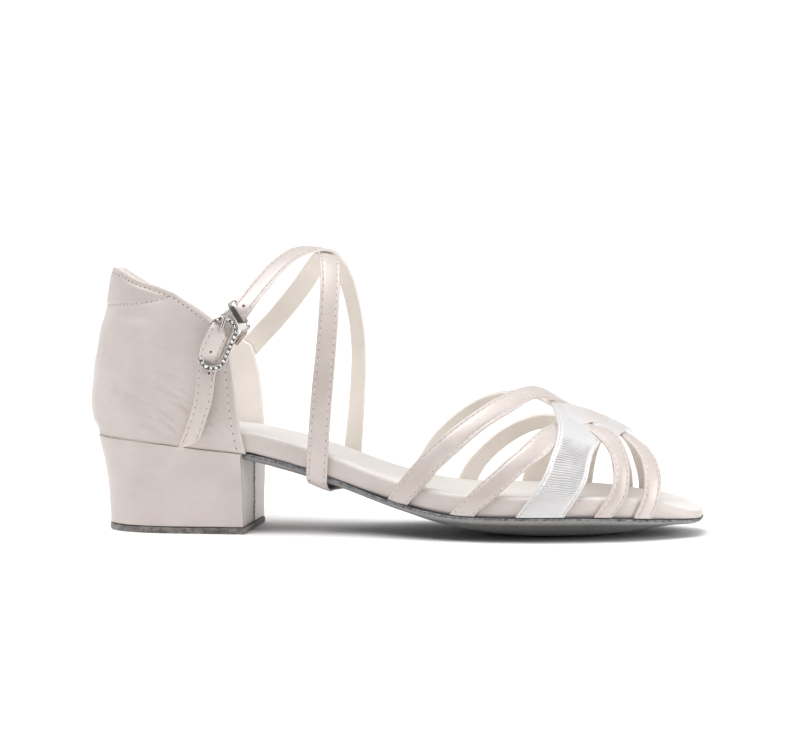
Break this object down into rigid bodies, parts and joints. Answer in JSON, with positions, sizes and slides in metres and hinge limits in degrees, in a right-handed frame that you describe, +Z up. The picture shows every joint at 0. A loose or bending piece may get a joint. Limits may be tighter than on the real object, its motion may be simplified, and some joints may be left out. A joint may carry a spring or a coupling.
{
  "type": "ballroom dance shoe",
  "caption": "Open-toed ballroom dance sandal: closed heel counter, low flared block heel, woven satin toe straps and one wrapped instep strap with a jewelled buckle.",
  "frame": {"origin": "middle of the shoe's footprint box, on the floor it stands on", "axes": "+X from the heel to the toe, +Y to the inner (medial) side, +Z up"},
  "size_m": [0.2484, 0.0844, 0.1153],
  "materials": {
    "satin": "satin weave, soft sheen, pinkish off-white with a fine grain",
    "strap_satin": "satin strap, folded light edges, two rows of stitches, cream lining underneath",
    "insole_cream": "cream satin over foam, soft, matte",
    "suede": "chrome-tanned suede, brushed grey nap",
    "bright_metal": "polished plating set with clear stones"
  },
  "bodies": {
    "root": {"heel_tip": "suede", "heel": "satin", "outsole": "suede", "insole": "insole_cream", "counter": "satin", "vamp_straps": "strap_satin", "instep_strap": "strap_satin", "buckle_frame": "bright_metal", "buckle_prong": "bright_metal", "buckle_tab": "strap_satin", "strap_keeper": "bright_metal"}
  },
  "joints": []
}
